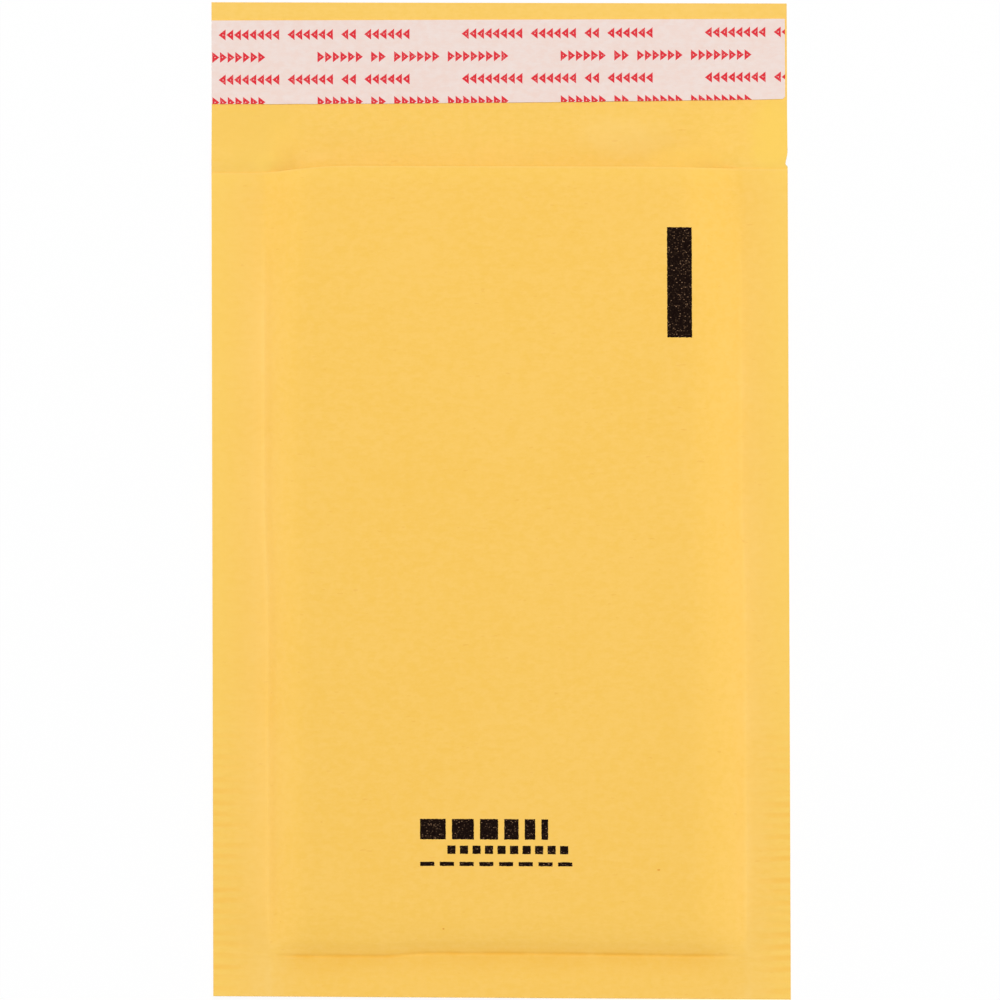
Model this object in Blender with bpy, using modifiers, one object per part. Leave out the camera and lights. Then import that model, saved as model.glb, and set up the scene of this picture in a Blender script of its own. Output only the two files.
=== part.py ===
"""A padded paper mailer, empty, lying on its back with its flap open.

One sheet of golden kraft paper is folded at the bottom and glued along two crimped side seams. It holds a
folded pad of bubble film. The back ply runs on past the mouth as the flap, which carries a strip of
adhesive under a release liner. X runs across the mailer, Y from the fold to the flap's end, Z up.
"""

import math

import bmesh
import bpy
from mathutils import Matrix

# Sheet of paper
WIDTH = 0.1524
BODY_LENGTH = 0.2195
FLAP_LENGTH = 0.0430
PAPER = 0.00015
GLUE_LINE = 0.00004
LEFT_SEAM = 0.0140
RIGHT_SEAM = 0.0119
FOLD_MARGIN = 0.0120

# Loft of the padded middle: how far in from each seam the paper goes on rising
LEFT_SHOULDER = 0.0120
RIGHT_SHOULDER = 0.0170
FOLD_SHOULDER = 0.0140
SHOULDER_POWER = 2.2
SHOULDER_STEPS = (0.0, 0.08, 0.18, 0.32, 0.5, 0.72, 1.0)

# Bubble film pad
FILM_PAD = 0.0030
FLAT_FILM = 0.0008
POCKET_GAP = 0.0044
PAD_CLEARANCE = 0.0003
PAD_INSET = 0.0022
PAD_RECESS = 0.0015

# Bubbles, in staggered rows on both inner faces of the pad
BUBBLE_RADIUS = 0.0049
BUBBLE_TOP_RADIUS = 0.0037
BUBBLE_PITCH = 0.0127
BUBBLE_MOUTH_GAP = 0.0010
LEVEL_SHARE = 0.65

# Adhesive and liner on the flap
LINER_WIDTH = 0.0223
LINER_TOP_RISE = 0.0008
LINER_LOW_RISE = 0.0017
LINER_BOW = 1.6
LINER_THICKNESS = 0.00008
LINER_FROM_END = 0.0046
LINER_SIDE_GAP = 0.0005
LINER_CORNER = 0.0006
LINER_CLEAR = 0.0005
ADHESIVE_WIDTH = 0.0170
ADHESIVE_SIDE_GAP = 0.0040
ADHESIVE_THICKNESS = 0.00008
FILM_CLEARANCE = 0.00005

# Printed bar, from the sheet's middle and from the mouth
BAR_WIDTH = 0.0066
BAR_LENGTH = 0.0293
BAR_OFFSET = 0.0439
BAR_FROM_MOUTH = 0.0163

# Mesh detail
LEAST_SPACING = 0.0002
FOLD_SEGMENTS = 4
SETTLE_SEGMENTS = 6
BOW_SEGMENTS = 6
BUBBLE_SIDES = 6
SEAM_INSET = 0.0003

# Places worked out from the sizes
LENGTH = BODY_LENGTH + FLAP_LENGTH
FOLD_Y = -LENGTH / 2
MOUTH_Y = FOLD_Y + BODY_LENGTH
FLAP_END_Y = LENGTH / 2
CREASE_Y = FOLD_Y + FOLD_MARGIN
LEFT_X = -WIDTH / 2 + LEFT_SEAM
RIGHT_X = WIDTH / 2 - RIGHT_SEAM
INNER_LOFT = POCKET_GAP / 2 + FILM_PAD + PAD_CLEARANCE
SEAM_Z = INNER_LOFT + PAPER
PLY_OFFSET = (PAPER + GLUE_LINE) / 2
PLY_LOFT = INNER_LOFT - GLUE_LINE / 2
LINER_TOP_Y = FLAP_END_Y - LINER_FROM_END
LINER_LOW_Y = LINER_TOP_Y - LINER_WIDTH
SETTLE = LINER_LOW_Y - LINER_CLEAR - MOUTH_Y
BAR_X = (BAR_OFFSET, BAR_OFFSET + BAR_WIDTH)
BAR_Y = (MOUTH_Y - BAR_FROM_MOUTH - BAR_LENGTH, MOUTH_Y - BAR_FROM_MOUTH)


def material(name, colour, roughness, alpha=1.0):
    made = bpy.data.materials.new(name)
    made.use_nodes = True
    shader = made.node_tree.nodes["Principled BSDF"]
    shader.inputs["Base Color"].default_value = (*colour, 1.0)
    shader.inputs["Roughness"].default_value = roughness
    shader.inputs["Metallic"].default_value = 0.0
    shader.inputs["Alpha"].default_value = alpha
    made.diffuse_color = (*colour, alpha)
    return made


def collection(name):
    made = bpy.data.collections.new(name)
    bpy.context.scene.collection.children.link(made)
    return made


def move_to(obj, home):
    for other in list(obj.users_collection):
        other.objects.unlink(obj)
    home.objects.link(obj)


def clamped(share):
    return min(1.0, max(0.0, share))


def rise(share):
    """Rounded shoulder: steep at the seam, level where the pad has its full height."""
    return 1.0 - (1.0 - clamped(share)) ** SHOULDER_POWER


def ease(share):
    t = clamped(share)
    return t * t * (3.0 - 2.0 * t)


def loft(x, y):
    """How far the paper stands off the seam plane, from 0 on the margins to 1 over the pad.

    Past the mouth there is one ply, and its sides settle down to the level of its middle.
    """
    across = rise((x - LEFT_X) / LEFT_SHOULDER) * rise((RIGHT_X - x) / RIGHT_SHOULDER)
    along = rise((y - CREASE_Y) / FOLD_SHOULDER)
    settled = ease((y - MOUTH_Y) / SETTLE)
    return along * (across + (1.0 - across) * settled)


def pad_height(x, y):
    """Half the height of the pad, just inside the paper."""
    return INNER_LOFT * loft(x, y) - PAD_CLEARANCE


def pocket_height(x, y):
    """Half the height of the free space between the flat films. They meet near the seams."""
    return max(0.0, pad_height(x, y) - FLAT_FILM)


def spaced(lines):
    """The lines in rising order, without any that nearly repeats the one before it."""
    kept = []
    for line in sorted(lines):
        if not kept or line - kept[-1] > LEAST_SPACING:
            kept.append(line)
    return kept


def shoulder_lines(start, width):
    return [start + width * step for step in SHOULDER_STEPS]


def cross_lines():
    """Places across the mailer where the section bends."""
    return shoulder_lines(LEFT_X, LEFT_SHOULDER) + shoulder_lines(RIGHT_X, -RIGHT_SHOULDER)


def grid(name, columns, rows, home):
    """A flat grid object with a vertex for each column and row, rows outermost."""
    bpy.ops.mesh.primitive_grid_add(x_subdivisions=len(columns) - 1, y_subdivisions=len(rows) - 1)
    obj = bpy.context.object
    obj.name = obj.data.name = name
    move_to(obj, home)
    for vertex in obj.data.vertices:
        row, column = divmod(vertex.index, len(columns))
        vertex.co = (columns[column], rows[row], 0.0)
    return obj


def sheet_rows():
    """The sheet's rows from the flap's end, round the fold and back to the mouth.

    Each is its y, its height where the plies meet, and the way that the loft moves it.
    """
    fold_centre = FOLD_Y + PLY_OFFSET + PAPER / 2
    body = spaced(
        [fold_centre, MOUTH_Y, *shoulder_lines(CREASE_Y, FOLD_SHOULDER), *BAR_Y]
    )
    settle = [MOUTH_Y + SETTLE * step / SETTLE_SEGMENTS for step in range(1, SETTLE_SEGMENTS + 1)]
    rows = [(FLAP_END_Y, SEAM_Z - PLY_OFFSET, -1)]
    rows += [(y, SEAM_Z - PLY_OFFSET, -1) for y in reversed(body + settle)]
    for step in range(1, FOLD_SEGMENTS):
        angle = math.pi * step / FOLD_SEGMENTS
        y = fold_centre - PLY_OFFSET * math.sin(angle)
        rows.append((y, SEAM_Z - PLY_OFFSET * math.cos(angle), 0))
    rows += [(y, SEAM_Z + PLY_OFFSET, 1) for y in body]
    return rows


def glue_seam(name, left, right, home):
    """Thin block that joins the two plies of one side seam."""
    low = FOLD_Y + PAPER + 2 * PLY_OFFSET + SEAM_INSET
    high = MOUTH_Y - SEAM_INSET
    bpy.ops.mesh.primitive_cube_add(size=1.0)
    obj = bpy.context.object
    obj.name = name
    obj.location = ((left + right) / 2, (low + high) / 2, SEAM_Z)
    obj.scale = (right - left, high - low, GLUE_LINE + PAPER)
    obj.hide_render = True
    obj.display_type = "WIRE"
    move_to(obj, home)
    return obj


def join_with(obj, other):
    step = obj.modifiers.new("join " + other.name, "BOOLEAN")
    step.operation = "UNION"
    step.object = other


def kraft_envelope(home, guides, kraft, ink):
    """The paper: one sheet, folded at the bottom and glued at both sides."""
    columns = spaced([-WIDTH / 2, WIDTH / 2, *cross_lines(), *BAR_X])
    rows = sheet_rows()
    obj = grid("kraft_envelope", columns, [0.0] * len(rows), home)
    for vertex in obj.data.vertices:
        row, column = divmod(vertex.index, len(columns))
        y, height, way = rows[row]
        x = columns[column]
        vertex.co = (x, y, height + way * PLY_LOFT * loft(x, y))
    obj.data.flip_normals()
    for slot in (kraft, ink, kraft, kraft):
        obj.data.materials.append(slot)
    for face in obj.data.polygons:
        on_front = face.center.z > SEAM_Z
        in_bar = BAR_X[0] < face.center.x < BAR_X[1] and BAR_Y[0] < face.center.y < BAR_Y[1]
        face.material_index = 1 if on_front and in_bar else 0
    wall = obj.modifiers.new("paper thickness", "SOLIDIFY")
    wall.thickness = PAPER
    wall.offset = 0.0
    wall.use_even_offset = True
    wall.material_offset = 2
    join_with(obj, glue_seam("left_glue", -WIDTH / 2 + SEAM_INSET, LEFT_X - SEAM_INSET, guides))
    join_with(obj, glue_seam("right_glue", RIGHT_X + SEAM_INSET, WIDTH / 2 - SEAM_INSET, guides))
    return obj


def pillow(name, columns, rows, half_height, home):
    """A closed lens between two grids that mirror each other in the seam plane."""
    obj = grid(name, columns, rows, home)
    wall = obj.modifiers.new("two faces", "SOLIDIFY")
    wall.thickness = INNER_LOFT
    wall.offset = 0.0
    bpy.context.view_layer.update()
    evaluated = obj.evaluated_get(bpy.context.evaluated_depsgraph_get())
    closed = bpy.data.meshes.new_from_object(evaluated)
    obj.modifiers.clear()
    obj.data = closed
    for vertex in closed.vertices:
        x, y, side = vertex.co
        vertex.co.z = SEAM_Z + math.copysign(half_height(x, y), side)
    return obj


def bubble_places():
    """Centres of the bubbles, in staggered rows over the level part of the pad."""
    left = LEFT_X + LEVEL_SHARE * LEFT_SHOULDER + BUBBLE_RADIUS
    right = RIGHT_X - LEVEL_SHARE * RIGHT_SHOULDER - BUBBLE_RADIUS
    low = CREASE_Y + LEVEL_SHARE * FOLD_SHOULDER + BUBBLE_RADIUS
    high = MOUTH_Y - PAD_RECESS - BUBBLE_MOUTH_GAP - BUBBLE_RADIUS
    row_pitch = BUBBLE_PITCH * math.sqrt(0.75)
    columns = int((right - left) / BUBBLE_PITCH)
    first_x = (left + right - columns * BUBBLE_PITCH) / 2
    places = []
    for row in range(int((high - low) / row_pitch) + 1):
        stagger = row % 2
        for column in range(columns + 1 - stagger):
            x = first_x + (column + stagger / 2) * BUBBLE_PITCH
            places.append((x, high - row * row_pitch))
    return places


def bubble(shape, x, y, side):
    """One bubble of the upper or lower layer, with its foot sunk in the flat film."""
    foot = pad_height(x, y) - FLAT_FILM / 2
    top = POCKET_GAP / 2
    bmesh.ops.create_cone(
        shape,
        cap_ends=True,
        segments=BUBBLE_SIDES,
        radius1=BUBBLE_TOP_RADIUS if side > 0 else BUBBLE_RADIUS,
        radius2=BUBBLE_RADIUS if side > 0 else BUBBLE_TOP_RADIUS,
        depth=foot - top,
        matrix=Matrix.Translation((x, y, SEAM_Z + side * (foot + top) / 2)),
    )


def bubbles(guides):
    """All the bubbles of both layers, as one mesh."""
    mesh = bpy.data.meshes.new("bubbles")
    shape = bmesh.new()
    for x, y in bubble_places():
        bubble(shape, x, y, 1)
        bubble(shape, x, y, -1)
    shape.to_mesh(mesh)
    shape.free()
    obj = bpy.data.objects.new("bubbles", mesh)
    obj.hide_render = True
    obj.display_type = "WIRE"
    guides.objects.link(obj)
    return obj


def bubble_lining(home, guides, film):
    """The pad: two layers of bubble film that meet near the seams, with a pocket between them."""
    columns = spaced(
        [LEFT_X + PAD_INSET, RIGHT_X - PAD_INSET]
        + [x for x in cross_lines() if LEFT_X + PAD_INSET < x < RIGHT_X - PAD_INSET]
    )
    rows = spaced(
        [CREASE_Y + PAD_INSET, MOUTH_Y - PAD_RECESS]
        + [y for y in shoulder_lines(CREASE_Y, FOLD_SHOULDER) if y > CREASE_Y + PAD_INSET]
    )
    pad = pillow("bubble_lining", columns, rows, pad_height, home)
    pad.data.materials.append(film)
    pocket_rows = spaced([*shoulder_lines(CREASE_Y, FOLD_SHOULDER), MOUTH_Y])
    pocket = pillow("pocket", spaced(cross_lines()), pocket_rows, pocket_height, guides)
    pocket.hide_render = True
    pocket.display_type = "WIRE"
    cut = pad.modifiers.new("pocket", "BOOLEAN")
    cut.operation = "DIFFERENCE"
    cut.object = pocket
    join_with(pad, bubbles(guides))
    return pad


def adhesive_strip(home, glue):
    """Pressure-sensitive adhesive, hidden under the liner."""
    bottom = PAPER + FILM_CLEARANCE
    centre_y = LINER_TOP_Y - LINER_WIDTH / 2
    bpy.ops.mesh.primitive_cube_add(size=1.0)
    obj = bpy.context.object
    obj.name = obj.data.name = "adhesive_strip"
    obj.location = (0.0, centre_y, bottom + ADHESIVE_THICKNESS / 2)
    obj.scale = (WIDTH - 2 * ADHESIVE_SIDE_GAP, ADHESIVE_WIDTH, ADHESIVE_THICKNESS)
    obj.data.materials.append(glue)
    move_to(obj, home)
    return obj


def liner_outline():
    """The liner lies a little askew: both long edges run up to the right, the lower one in a bow."""
    left = -WIDTH / 2
    right = WIDTH / 2 - LINER_SIDE_GAP
    lower = []
    for step in range(BOW_SEGMENTS + 1):
        share = step / BOW_SEGMENTS
        x = left + share * (right - LINER_CORNER - left)
        lower.append((x, LINER_LOW_Y + LINER_LOW_RISE * share**LINER_BOW))
    corner = (right, LINER_LOW_Y + LINER_LOW_RISE + LINER_CORNER)
    return [(left, LINER_TOP_Y), *lower, corner, (right, LINER_TOP_Y + LINER_TOP_RISE)]


def release_liner(home, paper):
    """The strip that peels off the adhesive."""
    outline = liner_outline()
    curve = bpy.data.curves.new("release_liner", "CURVE")
    curve.dimensions = "2D"
    curve.fill_mode = "BOTH"
    curve.extrude = LINER_THICKNESS / 2
    line = curve.splines.new("POLY")
    line.points.add(len(outline) - 1)
    for point, (x, y) in zip(line.points, outline):
        point.co = (x, y, 0.0, 1.0)
    line.use_cyclic_u = True
    curve.materials.append(paper)
    obj = bpy.data.objects.new("release_liner", curve)
    bottom = PAPER + 2 * FILM_CLEARANCE + ADHESIVE_THICKNESS
    obj.location = (0.0, 0.0, bottom + LINER_THICKNESS / 2)
    home.objects.link(obj)
    return obj


def build():
    for obj in list(bpy.data.objects):
        bpy.data.objects.remove(obj, do_unlink=True)
    mailer = collection("bubble_mailer")
    guides = collection("joining_shapes")
    kraft = material("golden_kraft", (0.90, 0.55, 0.13), 0.75)
    ink = material("black_ink", (0.015, 0.010, 0.008), 0.6)
    film = material("bubble_film", (0.85, 0.87, 0.88), 0.25, 0.6)
    glue = material("adhesive", (0.80, 0.72, 0.50), 0.3)
    liner = material("release_paper", (0.87, 0.75, 0.69), 0.5)
    kraft_envelope(mailer, guides, kraft, ink)
    bubble_lining(mailer, guides, film)
    adhesive_strip(mailer, glue)
    release_liner(mailer, liner)


build()
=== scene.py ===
"""Looks of an empty padded mailer, lying on its back with its flap open, seen from above.

Golden kraft paper with crimped side seams, clear bubble film in the mouth, and a printed release liner over
the adhesive on the flap. Lengths are in metres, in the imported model's frame: X runs across the mailer, Y from
its folded end to the end of its flap, Z up.
"""

import math
import random

import bpy
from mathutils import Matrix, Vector, noise


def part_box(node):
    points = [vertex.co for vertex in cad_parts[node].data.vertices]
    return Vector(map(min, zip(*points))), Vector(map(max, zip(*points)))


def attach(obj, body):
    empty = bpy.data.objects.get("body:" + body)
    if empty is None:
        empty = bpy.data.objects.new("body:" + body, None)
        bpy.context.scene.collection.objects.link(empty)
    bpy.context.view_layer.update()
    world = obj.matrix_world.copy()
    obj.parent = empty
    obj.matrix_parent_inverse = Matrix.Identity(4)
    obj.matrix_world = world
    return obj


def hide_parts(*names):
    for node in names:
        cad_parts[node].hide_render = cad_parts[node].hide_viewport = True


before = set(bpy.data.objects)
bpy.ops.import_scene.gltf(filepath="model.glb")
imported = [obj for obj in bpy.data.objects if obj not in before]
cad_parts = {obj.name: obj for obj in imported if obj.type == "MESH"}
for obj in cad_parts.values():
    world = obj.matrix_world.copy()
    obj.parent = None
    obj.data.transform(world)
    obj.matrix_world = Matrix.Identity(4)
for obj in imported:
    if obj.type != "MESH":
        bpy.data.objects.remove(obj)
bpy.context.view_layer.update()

MM = 0.001

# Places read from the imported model
SHEET_LOW, SHEET_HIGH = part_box("kraft_envelope")
PAD_LOW, PAD_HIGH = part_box("bubble_lining")
LINER_LOW, LINER_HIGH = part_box("release_liner")

# Sheet of paper: the pad's outline in it, and the shoulders where the paper climbs onto the pad
PAPER = 0.15 * MM
GLUE_LINE = 0.04 * MM
PAD_INSET = 2.2 * MM
PAD_FOLD_INSET = 2.8 * MM
PAD_RECESS = 1.05 * MM
SETTLED_GAP = 0.5 * MM
LEFT_SHOULDER = 12.0 * MM
RIGHT_SHOULDER = 17.0 * MM
FOLD_SHOULDER = 20.0 * MM
SHOULDER_POWER = 2.05
FOLD_POWER = 2.6
FOOT_SHARE = 0.18
SHARP_ANGLE = math.radians(50.0)

HALF_WIDTH = SHEET_HIGH.x
FLAP_END_Y = SHEET_HIGH.y
FOLD_Y = -FLAP_END_Y
SEAM_Z = (SHEET_LOW.z + SHEET_HIGH.z) / 2
INNER_LOFT = SEAM_Z - PAPER
PLY_OFFSET = (PAPER + GLUE_LINE) / 2
PLY_LOFT = INNER_LOFT - GLUE_LINE / 2
LEFT_X = PAD_LOW.x - PAD_INSET
RIGHT_X = PAD_HIGH.x + PAD_INSET
CREASE_Y = PAD_LOW.y - PAD_FOLD_INSET
MOUTH_Y = PAD_HIGH.y + PAD_RECESS
SETTLED_Y = LINER_LOW.y - SETTLED_GAP

# How far the folded sheet is out of square: sideways for each metre up, and down for each metre to the right,
# which is less at the flap's end than at the fold. It is a hair narrower than a square cut, most at the flap.
LEAN = 0.0030
DROOP = 0.0041
DROOP_CHANGE = 0.0145
CUT_SHARE = 0.9977
CUT_TAPER = 0.0105

# Crimp ribs rolled into both side seams, deepest near the fold. Their unevenness and jitter are a strength
# and turns of noise.
RIB_PITCH = 2.9 * MM
RIB_DEPTH = 0.10 * MM
RIB_FULL_BAND = 5.4 * MM
RIB_FADED_BAND = 11.7 * MM
RIB_FULL_Y = -75.0 * MM
RIB_FADED_Y = -20.0 * MM
RIB_LEAST = 0.25
RIB_MEAN = 0.75
RIB_UNEVEN = (0.6, 220.0, 90.0)
RIB_JITTER = (0.9, 60.0, 45.0)
RIB_END = 6.0 * MM

# Wandering of the seam folds, low and change upward, of the lower crease, left, step and fall, and of the
# mouth's cut edge, left, climb and fall
SEAM_DRIFT = (0.5 * MM, -0.85 * MM)
SEAM_DRIFT_Y = (-30.0 * MM, 0.0)
SEAM_DRIFT_REACH = 12.0 * MM
CREASE_DRIFT = (-0.5 * MM, 0.9 * MM, -0.35 * MM)
CREASE_DRIFT_REACH = 9.0 * MM
CREASE_STEP_X = (-30.0 * MM, -22.0 * MM)
CREASE_FALL_X = (5.0 * MM, 55.0 * MM)
MOUTH_DRIFT = (-1.8 * MM, 1.95 * MM, -0.45 * MM)
MOUTH_CLIMB_X = (-66.5 * MM, -41.0 * MM)
MOUTH_FALL_X = (36.0 * MM, 72.0 * MM)

# Small nick in the right edge of the flap, sharp toward the mouth and gentle away from it
NICK_DEPTH = 0.55 * MM
NICK_WIDTH = 2.0 * MM
NICK_PAST_MOUTH = 1.0 * MM
NICK_REACH = (0.8 * MM, 3.2 * MM)

# Crease above the folded margin
CREASE_LIFT = 0.7 * MM
GROOVE_DEPTH = 0.16 * MM
GROOVE_REACH = 0.7 * MM
GROOVE_OUTSIDE = 1.0 * MM
GROOVE_INSIDE = 3.0 * MM

# Ridges of the seam folds that run on below the crease
RIDGE_HEIGHT = 0.10 * MM
RIDGE_RUN = 10.0 * MM
RIDGE_LEFT_REACH = 1.6 * MM
RIDGE_RIGHT_REACH = 1.8 * MM
RIDGE_RIGHT_SPREAD = 0.25

# Bulges of the flap: place across and past the mouth, reach both ways, and height
FLAP_BULGES = (
    (-48.5 * MM, 2.0 * MM, 9.0 * MM, 5.0 * MM, 0.12 * MM),
    (33.0 * MM, 8.0 * MM, 17.0 * MM, 9.0 * MM, 0.30 * MM),
)
BULGE_START = 2.0 * MM
BULGE_END = 4.0 * MM

# Slack front edge of the pocket
LIP_DROOP = 1.5 * MM
LIP_REACH = 26.0 * MM
SOFT_FROM_Y = 45.0 * MM

# Waves of the paper, the film and the liner's edge: size across and height
BROAD_WAVE = (38.0 * MM, 0.10 * MM)
SMALL_WAVE = (11.0 * MM, 0.020 * MM)
FILM_WAVE = (7.0 * MM, 0.05 * MM)
LINER_EDGE_WAVE = (9.0 * MM, 0.12 * MM)

# Slices of the noise, one for each use, so that no two uses look alike
BROAD_SLICE = 1.0
LINER_EDGE_SLICE = 2.0
RIB_UNEVEN_SLICE = 3.0
LINER_LIFT_SLICE = 4.0
SMALL_SLICE = 5.0
RIB_JITTER_SLICE = 8.0
FILM_SLICE = 11.0

# Spacing of the sheet's columns and rows
NEAR_REPEAT = 0.05 * MM
BESIDE_SEAM = 0.5 * MM
MARGIN_STEP = 1.7 * MM
PANEL_STEP = 6.0 * MM
NICK_STEP = 0.3 * MM
NICK_STEPS = 6
SLOPE_START = 2.5 * MM
SLOPE_STEP = 1.0 * MM
FLAP_STEP = 3.0 * MM
RIB_STEPS = 5
FOLD_STEPS = 6

# Liner on the flap. Its flutter is a strength and turns of noise.
LINER_TOP_RISE = 0.8 * MM
LINER_LOW_RISE = 1.7 * MM
LINER_BOW = 1.6
LINER_WIDTH = 22.06 * MM
LINER_CORNER = 0.6 * MM
LINER_THICKNESS = 0.08 * MM
LINER_LIFT = 0.05 * MM
LINER_LOOSE_EDGE = 0.15
LINER_INNER_LIFT = 0.6
LINER_FLUTTER = (1.0, 45.0, 2.0)
LINER_STEP = 1.6 * MM
LINER_ROWS = 16

# Bubble film
PAD_CLEARANCE = 0.3 * MM
BUBBLE_RADIUS = 4.9 * MM
BUBBLE_PITCH = 12.7 * MM
BUBBLE_ROW_SHARE = math.sqrt(0.75)
BUBBLE_MOUTH_GAP = 1.0 * MM
BUBBLE_START_X = 0.6 * MM
BUBBLE_COLUMNS = 6
BUBBLE_LEAST_LOFT = 0.35
BUBBLE_SIDES = 20
BUBBLE_RINGS = 6
BUBBLE_ROUNDNESS = (0.42, 0.85)
BUBBLE_RADIUS_SPREAD = (0.97, 1.02)
BUBBLE_TOP_SPREAD = (1.0, 1.12)
BUBBLE_TOP_MOST = 0.5
BUBBLE_SQUASH = (0.96, 1.04)
BUBBLE_LEAN = (-0.03, 0.03)
BUBBLE_SEED = 7
POCKET_GAP = 4.4 * MM
FILM_STEP_X = 5.0 * MM
FILM_STEP_Y = 4.0 * MM

# Colours, as linear light
KRAFT_LIGHT = (0.962, 0.602, 0.137)
KRAFT_DARK = (0.940, 0.572, 0.106)
KRAFT_FLECK = (0.80, 0.36, 0.05)
# Pale tone for painted highlights on the seam folds, the front ply's cut edge and the flap's bulges; also for
# the paler seam margins and a faint band near the flap's end
KRAFT_PALE_HIGHLIGHT = (0.985, 0.700, 0.270)
# Tone for painted light on the seam margins toward the cut edges, on the slack lip and on two spots of the flap
# past the mouth
KRAFT_PAINTED_LIGHT = (1.000, 0.665, 0.135)
# Tone for painted shade in the crimp ribs' troughs and along the line of the mouth's cut edge
KRAFT_PAINTED_SHADE = (0.925, 0.450, 0.048)
# Tone for painted shade along the lower crease
KRAFT_CREASE_SHADE = (0.875, 0.455, 0.052)
# Tones for painted shade over the flap's sloping left and right ends
KRAFT_DULL_SHADE = (0.905, 0.582, 0.118)
KRAFT_GOLDEN_SHADE = (0.960, 0.640, 0.118)
KRAFT_INSIDE_LIGHT = (0.970, 0.624, 0.150)
KRAFT_INSIDE_DARK = (0.946, 0.594, 0.118)
KRAFT_EDGE = (0.90, 0.62, 0.28)
INK = (0.0040, 0.0008, 0.0002)
INK_THIN = (0.38, 0.22, 0.12)
LINER_PALE = (0.860, 0.726, 0.678)
LINER_DEEP = (0.850, 0.666, 0.598)
LINER_RED = (0.72, 0.014, 0.028)
FILM_TINT = (0.90, 0.93, 0.95)
FILM_HAZE = (0.97, 0.98, 0.98)
GLUE_TINT = (0.83, 0.74, 0.52)
GLUE_HAZE = (0.88, 0.80, 0.60)
TABLE = (0.93, 0.93, 0.93)


def clamped(share):
    return min(1.0, max(0.0, share))


def ease(share):
    t = clamped(share)
    return t * t * (3.0 - 2.0 * t)


def between(value, start, end):
    """0 before start, 1 after end, smooth in between."""
    return ease((value - start) / (end - start))


def hill(distance, reach):
    """1 at the middle, 0 at the reach and beyond."""
    return ease(1.0 - abs(distance) / reach)


def wave(x, y, size_and_height, noise_slice):
    """Noise of this height, with waves about as wide as the size."""
    size, height = size_and_height
    return height * noise.noise(Vector((x / size, y / size, noise_slice)))


def grain(x, y, strength_and_turns, noise_slice):
    """Noise of this strength, with so many turns for each unit of x and of y."""
    strength, across, up = strength_and_turns
    return strength * noise.noise(Vector((x * across, y * up, noise_slice)))


# Shape of the sheet

def rise(share, power=SHOULDER_POWER):
    """Rounded shoulder: steep just past its soft foot, level where the pad has its full height."""
    lifted = 1.0 - (1.0 - clamped(share)) ** power
    return lifted * ease(0.5 + 0.5 * share / FOOT_SHARE) if share < FOOT_SHARE else lifted


def shoulder(share, y):
    """Crisp at the seam along most of the pocket, soft near the mouth."""
    soft = between(y, SOFT_FROM_Y, MOUTH_Y)
    return rise(share) * (1.0 - soft) + ease(share) * soft


def loft(x, y):
    """How far the paper stands off the seam plane, from 0 on the margins to 1 over the pad."""
    across = shoulder((x - LEFT_X) / LEFT_SHOULDER, y) * shoulder((RIGHT_X - x) / RIGHT_SHOULDER, y)
    up = rise((y - CREASE_Y) / FOLD_SHOULDER, FOLD_POWER)
    settled = between(y, MOUTH_Y, SETTLED_Y)
    return up * (across + (1.0 - across) * settled)


def ribs(x, y):
    """Height of the crimp ribs, which both plies share."""
    from_edge = HALF_WIDTH - abs(x)
    band = 1.0 - between(from_edge, RIB_FULL_BAND, RIB_FADED_BAND)
    depth = RIB_LEAST + (1.0 - RIB_LEAST) * (1.0 - between(y, RIB_FULL_Y, RIB_FADED_Y))
    uneven = RIB_MEAN + grain(x, y, RIB_UNEVEN, RIB_UNEVEN_SLICE)
    turn = 2.0 * math.pi * y / RIB_PITCH + grain(x, y, RIB_JITTER, RIB_JITTER_SLICE)
    top = 1.0 - between(y, MOUTH_Y - RIB_END, MOUTH_Y)
    return RIB_DEPTH * band * depth * uneven * top * math.sin(turn)


def crease_lift(y):
    """The folded margin curls up to the crease, and the pad levels that out again."""
    if y < CREASE_Y:
        return CREASE_LIFT * clamped((y - FOLD_Y) / (CREASE_Y - FOLD_Y)) ** 3
    return CREASE_LIFT * (1.0 - between(y, CREASE_Y, CREASE_Y + FOLD_SHOULDER))


def crease_groove(x, y):
    """The crease itself, a narrow groove between the seams."""
    from_left = between(x, LEFT_X - GROOVE_OUTSIDE, LEFT_X + GROOVE_INSIDE)
    from_right = between(-x, -RIGHT_X - GROOVE_OUTSIDE, -RIGHT_X + GROOVE_INSIDE)
    return GROOVE_DEPTH * from_left * from_right * hill(y - CREASE_Y, GROOVE_REACH)


def fold_marks(x, y):
    """Faint ridges where the seam folds run on through the folded margin."""
    down = CREASE_Y - y
    fading = clamped(1.0 - down / RIDGE_RUN) if down > 0.0 else 0.0
    left = hill(x - LEFT_X, RIDGE_LEFT_REACH)
    right = hill(x - RIGHT_X - RIDGE_RIGHT_SPREAD * down, RIDGE_RIGHT_REACH)
    return RIDGE_HEIGHT * fading * (left + right)


def flap_bulges(x, y):
    """Shallow bulges in the flap just past the mouth."""
    rising = between(y, MOUTH_Y - BULGE_START, MOUTH_Y)
    fading = 1.0 - between(y, SETTLED_Y - BULGE_END, SETTLED_Y)
    height = 0.0
    for at_x, past_mouth, reach_x, reach_y, top in FLAP_BULGES:
        height += top * hill(x - at_x, reach_x) * hill(y - MOUTH_Y - past_mouth, reach_y)
    return rising * fading * height


def seam_drift(y):
    """The seam folds lie a little further right in the lower half."""
    return SEAM_DRIFT[0] + SEAM_DRIFT[1] * between(y, *SEAM_DRIFT_Y)


def crease_drift(x):
    """The lower crease steps up left of the middle and wanders down again to the right."""
    step_up = CREASE_DRIFT[1] * between(x, *CREASE_STEP_X)
    fall = CREASE_DRIFT[2] * between(x, *CREASE_FALL_X)
    return CREASE_DRIFT[0] + step_up + fall


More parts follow.
